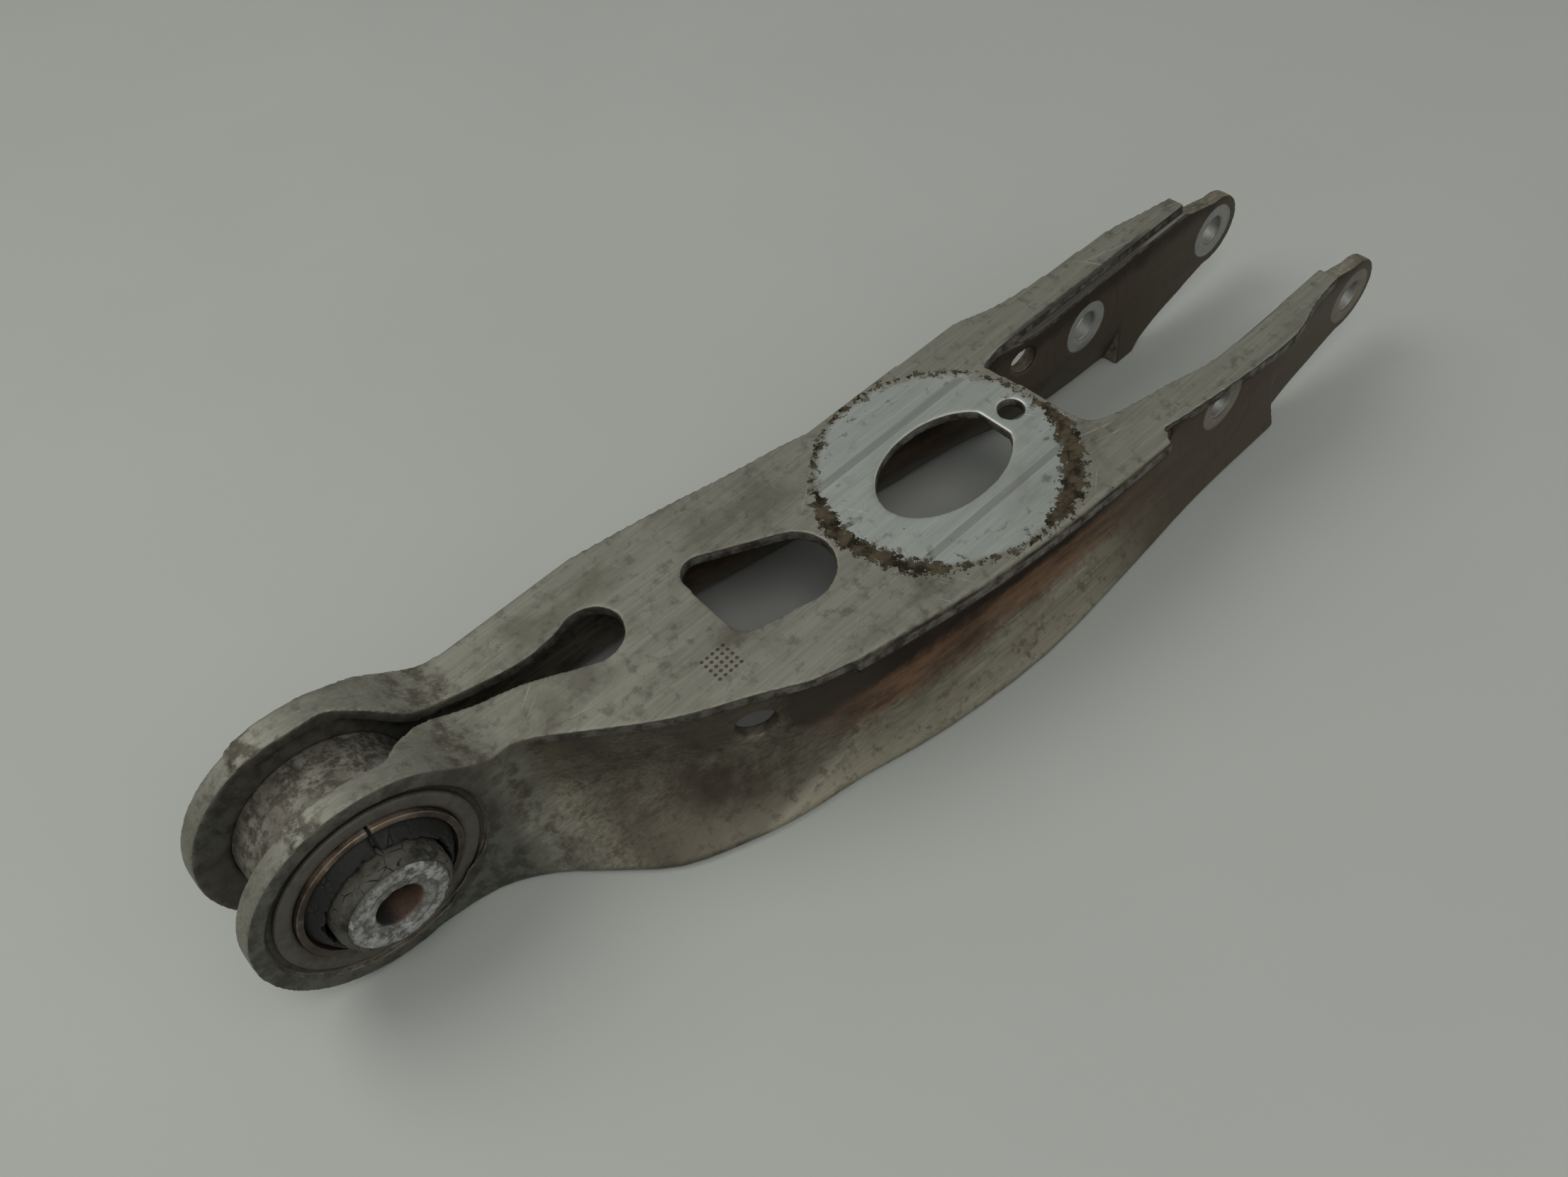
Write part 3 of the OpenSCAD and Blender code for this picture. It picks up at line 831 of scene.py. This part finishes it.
# %% Shell material and pieces
def make_shell_material():
    m, t, shader, where = new_material("shell_steel", 0.7, 0.45)
    worn = use_group(t, wear, where, 0.52, 0.44)[0]
    stain = noise_node(t, where, 70.0, 7, 0.65)
    fine = noise_node(t, where, 420.0, 5, 0.6)
    colour = mixed(t, ramp(t, stain, 0.42, 0.6), rgb(0.3, 0.22, 0.16), rgb(0.09, 0.065, 0.048))
    low = ramp(t, xyz(t, where)[2], 0.028, 0.014)
    colour = laid_over(t, colour, rgb(0.05, 0.038, 0.03), low, 0.85)
    colour = laid_over(t, colour, rgb(0.03, 0.024, 0.02), fine, 0.3)
    colour = laid_over(t, colour, rgb(0.5, 0.45, 0.38), worn, 0.5)
    t.links.new(colour, shader.inputs["Base Color"])
    t.links.new(plus(t, 0.35, times(t, stain, 0.3)), shader.inputs["Roughness"])
    bumped(t, shader, fine, 0.00012)
    return m


shell_metal = make_shell_material()
shell_out, shell_in = 29.75, 27.2
shell_end = shell_hi.y
shell_outline = rounded_profile(
    [(shell_in, shell_end), (shell_out, shell_end), (shell_out, -shell_end), (shell_in, -shell_end)], 0.5
)
half_slit = 0.8
slit_deg = math.degrees(half_slit / shell_out)
slit_starts = (77.0, 257.0)
for letter, start in zip("ab", slit_starts):
    shell = turn(
        f"half_shell_{letter}", shell_outline, 90, start + slit_deg, 180.0 - 2 * slit_deg
    )
    shell.data.materials.append(shell_metal)
    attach(shell, "arm")
    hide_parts(f"bush_half_shell_{letter}")
    print(shell.name, len(shell.data.polygons), "faces")

# %% [markdown]
# ### Rubber
# Black rubber fills the ring. It slopes up from the shells to a lip that
# stands proud of them, and inside the lip a deep groove lets the inner sleeve
# tilt. Age has torn flakes off the lip and split it where the shells part.
# Sculpting could do that, but noise that moves the points repeats exactly.


# %% Rubber material
def make_rubber_material(name, dust_colour, dust_from):
    m, t, shader, where = new_material(name, 0.0, 0.62)
    shader.inputs["Specular IOR Level"].default_value = 0.35
    worn = use_group(t, wear, where, 0.53, 0.45)[0]
    dust = noise_node(t, where, 95.0, 8, 0.7)
    fine = noise_node(t, where, 600.0, 6, 0.7)
    cracks = t.nodes.new("ShaderNodeTexVoronoi")
    cracks.feature = "DISTANCE_TO_EDGE"
    cracks.inputs["Scale"].default_value = 190.0
    t.links.new(where, cracks.inputs["Vector"])
    crack = times(t, ramp(t, cracks.outputs["Distance"], 0.06, 0.0), ramp(t, dust, 0.48, 0.6))
    colour = mixed(t, fine, rgb(0.006, 0.006, 0.006), rgb(0.02, 0.019, 0.018))
    colour = mixed(t, ramp(t, dust, dust_from, dust_from + 0.2), colour, dust_colour)
    colour = laid_over(t, colour, rgb(0.06, 0.056, 0.047), worn, 0.35)
    colour = mixed(t, crack, colour, rgb(0.004, 0.004, 0.004))
    t.links.new(colour, shader.inputs["Base Color"])
    t.links.new(plus(t, 0.5, times(t, dust, 0.35)), shader.inputs["Roughness"])
    height = minus(t, times(t, fine, 0.5), crack)
    bumped(t, shader, height, 0.00025)
    return m


black_rubber = make_rubber_material("black_rubber", rgb(0.034, 0.031, 0.026), 0.5)
dusty_rubber = make_rubber_material("dusty_rubber", rgb(0.085, 0.08, 0.064), 0.33)
print(black_rubber.name, dusty_rubber.name, len(black_rubber.node_tree.nodes), "nodes")

# %% [markdown]
# The ring stays in the arm and the coat turns with the inner sleeve, so the
# rubber is cut in two at the bottom of its groove, where the cut is hidden.

# %% Rubber ring in the shells
ear_face = 23.3
groove_depth = 13.0
core_r = core_hi.x
rubber_in, rubber_out = core_r + 2.9, shell_in - 0.1
lip_r, lip_y = core_r + 4.7, ear_face + 4.6
ring_half = [
    (rubber_in - 0.1, ear_face - groove_depth - 0.4),
    (lip_r - 0.9, ear_face - groove_depth - 0.6),
    (lip_r - 0.7, lip_y - 1.0),
    (lip_r, lip_y),
    (lip_r + 1.1, lip_y - 1.0),
    (rubber_out - 1.0, ear_face - 0.7),
    (rubber_out, ear_face - 1.8),
]
ring_outline = ring_half + [(r, -y) for r, y in ring_half[::-1]]
slit_angles = [math.radians(a) for a in slit_starts]


def torn_ring(p, r, y, a):
    """Tears the proud lip into flakes and splits it where the shells part."""
    proud = max(0.0, min(1.0, (abs(y) - ear_face + 3.0) / 5.0))
    lip = proud * max(0.0, 1.0 - abs(r - lip_r) / 2.4)
    big_flake = max(0.0, noise_at(p, 0.24, 5.0) - 0.1) * 3.4
    flake = big_flake + max(0.0, noise_at(p, 0.7, 9.0)) * 1.2
    small = noise_at(p, 0.9) * 0.18
    crack = sum(math.exp(-((a - s) / 0.035) ** 2) for s in slit_angles) * proud * 3.5
    out = Vector((p.x, 0.0, p.z)).normalized()
    sunk = Vector((0, math.copysign(lip * flake + crack, y), 0))
    return p + out * (lip * flake * 0.5 + small * proud) - sunk


ring = turn("rubber_ring", densify(rounded_profile(ring_outline, 1.0), 0.7), 280, wobble=torn_ring)
ring.data.materials.append(black_rubber)
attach(ring, "arm")
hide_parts("bush_rubber")
print(ring.name, len(ring.data.polygons), "faces")

# %% [markdown]
# The coat is the rubber bonded to the inner sleeve. Its outer end is frayed,
# and dust has dulled it, so its material is greyer than the ring's.

# %% Rubber coat on the inner sleeve
coat_half = [
    (core_r - 0.2, ear_face + 10.2), (core_r + 1.4, ear_face + 10.0), (core_r + 2.6, ear_face + 8.6),
    (rubber_in, ear_face + 6.0), (rubber_in, ear_face - groove_depth),
]
coat_outline = coat_half + [(r, -y) for r, y in coat_half[::-1]]


def torn_coat(p, r, y, a):
    """Frays the coat's outer end; the side on the sleeve stays true."""
    edge = max(0.0, 1.0 - abs(abs(y) - ear_face - 8.5) / 3.5)
    flake = max(0.0, noise_at(p, 0.3, 11.0) - 0.02) * 1.6 * edge
    small = noise_at(p, 0.7, 3.0) * 0.16
    out = Vector((p.x, 0.0, p.z)).normalized()
    return p + out * ((small - flake) * (r > core_r + 0.5))


coat = turn("rubber_coat", densify(rounded_profile(coat_outline, 1.2), 0.8), 240, wobble=torn_coat)
coat.data.materials.append(dusty_rubber)
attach(coat, "core")
print(coat.name, len(coat.data.polygons), "faces")

# %% [markdown]
# ### Inner sleeve
# The steel sleeve takes the bolt. Its end face has gone white and grey with
# corrosion where the bracket pressed on it. Its bore is rusty on the low side and painted dark as shadow
# above.


# %% Inner sleeve material and piece
def make_core_material():
    m, t, shader, where = new_material("corroded_steel", 0.35, 0.55)
    at_mm = scaled(t, where, 1000, 1000, 1000)
    r = use_group(t, axis_distance, at_mm, (0, 0, 0), about_y)[0]
    dirty = use_group(t, wear, where, 0.55, 0.44)[1]
    crust = noise_node(t, where, 150.0, 9, 0.72, 0.5)
    fine = noise_node(t, where, 700.0, 6, 0.7)
    r_wavy = plus(t, r, times(t, minus(t, crust, 0.5), 4.0))
    dark = mixed(t, fine, rgb(0.05, 0.047, 0.042), rgb(0.17, 0.165, 0.15))
    flecks = noise_node(t, where, 300.0, 8, 0.7)
    white = mixed(t, ramp(t, flecks, 0.38, 0.56), rgb(0.11, 0.108, 0.098), rgb(0.44, 0.44, 0.42))
    colour = mixed(t, ramp(t, crust, 0.5, 0.6), dark, white)
    for low, high, amount in ((8.6, 12.2, 0.45), (13.2, 16.9, 0.8)):
        ring = times(t, band(t, r_wavy, low, high, 0.6), ramp(t, fine, 0.25, 0.5), amount)
        colour = mixed(t, ring, colour, white)
    black_specks = use_group(t, pits, where, 480.0, 0.5)[0]
    colour = laid_over(t, colour, rgb(0.035, 0.03, 0.026), black_specks, 0.85)
    bore = ramp(t, r, 8.9, 8.3)
    across, _, upward = xyz(t, at_mm)
    patchy = times(t, minus(t, crust, 0.5), 16.0)
    below = ramp(t, plus(t, minus(t, upward, across), patchy), -1.0, -9.0)
    rust = mixed(t, fine, rgb(0.06, 0.038, 0.028), rgb(0.22, 0.13, 0.09))
    # painted shadow: the bore's upper side is painted near black; its lower side is rust
    bore_rust_and_painted_shadow = mixed(t, below, rgb(0.03, 0.025, 0.022), rust)
    colour = laid_over(t, colour, bore_rust_and_painted_shadow, bore, 0.9)
    bloom = times(t, ramp(t, r_wavy, 10.6, 9.0), ramp(t, crust, 0.45, 0.65), below, 0.6)
    colour = mixed(t, bloom, colour, rgb(0.2, 0.125, 0.085))
    colour = laid_over(t, colour, rgb(0.03, 0.026, 0.022), dirty, 0.7)
    t.links.new(colour, shader.inputs["Base Color"])
    t.links.new(plus(t, 0.4, times(t, crust, 0.4)), shader.inputs["Roughness"])
    height = plus(t, crust, times(t, fine, 0.35))
    bumped(t, shader, height, 0.0005)
    return m


core_metal = make_core_material()
bore_r = mounts["bush_bore"]["dims"]["r_mm"]
core_end = core_hi.y
core_half = [
    (bore_r, core_end - 1.6), (bore_r + 1.0, core_end - 0.5), (bore_r + 3.0, core_end - 0.5),
    (bore_r + 3.6, core_end), (core_r - 1.0, core_end), (core_r, core_end - 1.0),
]
core_outline = core_half + [(r, -y) for r, y in core_half[::-1]]


def eaten(p, r, y, a):
    """Corrodes the end faces and leaves the bore and the middle true."""
    if r < bore_r + 0.5 or abs(y) < core_end - 2.0:
        return p
    bite = max(0.0, noise_at(p, 0.35, 7.0)) * 0.9
    return p - Vector((0, math.copysign(bite, y), 0))


core = turn("inner_sleeve", densify(rounded_profile(core_outline, 0.5), 0.7), 200, wobble=eaten)
core.data.materials.append(core_metal)
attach(core, "core")
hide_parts("bush_inner_sleeve")
print(core.name, len(core.data.polygons), "faces")

# %% [markdown]
# ## Floor, light and camera
# A worn part looks true under plain, soft light: a pale matt floor, a big
# key lamp behind the part, a smaller one above its near side, a weak fill
# from the fork end, and an even grey room that keeps the shadows open.


# %% Floor
def make_floor():
    m, t, shader, where = new_material("pale_floor", 0.0, 0.55)
    cloud = noise_node(t, where, 6.0, 5, 0.5)
    colour = mixed(t, cloud, rgb(0.37, 0.385, 0.36), rgb(0.41, 0.42, 0.395))
    t.links.new(colour, shader.inputs["Base Color"])
    mesh = bpy.data.meshes.new("floor")
    bm = bmesh.new()
    half = 4.0
    for across, along in ((-half, -half), (half, -half), (half, half), (-half, half)):
        bm.verts.new((across, along, floor_z))
    bm.faces.new(bm.verts[:])
    bm.to_mesh(mesh)
    bm.free()
    mesh.materials.append(m)
    obj = bpy.data.objects.new("floor", mesh)
    bpy.context.scene.collection.objects.link(obj)
    obj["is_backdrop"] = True
    return obj


floor = make_floor()
print(floor.name, "at", round(floor_z, 4))


# %% [markdown]
# Disc lamps give soft-edged shadows. The turn of each is worked out from its
# place and its aim, so a lamp that is moved still points at the part.


# %% Lights
def area_light(name, place, aim, size, watts, tint):
    data = bpy.data.lights.new(name, "AREA")
    data.shape = "DISK"
    data.size = size
    data.energy = watts
    data.color = tint
    obj = bpy.data.objects.new(name, data)
    obj.location = place
    obj.rotation_euler = (Vector(aim) - Vector(place)).to_track_quat("-Z", "Y").to_euler()
    bpy.context.scene.collection.objects.link(obj)
    return obj


middle = (0.2, -0.04, 0.0)
key = area_light("key", (-0.35, 0.75, 1.35), middle, 1.2, 9.0, (1.0, 0.985, 0.95))
ceiling = area_light("ceiling", (-0.12, -0.62, 1.45), middle, 0.7, 5.2, (1.0, 0.99, 0.965))
fill = area_light("fill", (0.7, -1.1, 1.2), middle, 1.2, 3.0, (0.95, 0.98, 1.0))
world = bpy.data.worlds.new("soft_room")
world.use_nodes = True
world.node_tree.nodes["Background"].inputs[0].default_value = (0.62, 0.64, 0.62, 1.0)
world.node_tree.nodes["Background"].inputs[1].default_value = 0.55
bpy.context.scene.world = world
bpy.context.scene.view_settings.view_transform = "Standard"
print("lights", key.name, ceiling.name, fill.name)

# %% [markdown]
# The camera stands above the bush end and looks down along the arm. Three
# directions fix how it is held: what is right, up and ahead in the picture.

# %% Camera
right = Vector((0.731, -0.673, -0.112)).normalized()
ahead = Vector((0.339, 0.501, -0.796)).normalized()
above = right.cross(ahead).normalized()
right = ahead.cross(above)
lens_mm, film_mm = 29.3, 36.0
camera_data = bpy.data.cameras.new("camera")
camera_data.lens, camera_data.sensor_width = lens_mm, film_mm
camera_data.clip_start = 0.01
camera = bpy.data.objects.new("camera", camera_data)
turn_matrix = Matrix((right, above, -ahead)).transposed()
camera.matrix_world = Matrix.Translation((0.0111, -0.2645, 0.3696)) @ turn_matrix.to_4x4()
bpy.context.scene.collection.objects.link(camera)
bpy.context.scene.camera = camera
print("camera looks down", round(math.degrees(math.asin(-ahead.z)), 1), "degrees")

# %% [markdown]
# Blender adds looks but not size, so the finished scene is measured against
# the CAD box.

# %% Compare the looks with the CAD box
seen_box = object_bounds()
sizes = {"cad": [list(c) for c in cad_box], "seen": [list(c) for c in seen_box]}
gap = np.abs(np.array(sizes["cad"]) - np.array(sizes["seen"])).max()
print("largest difference", round(float(gap) / MM, 2), "mm")
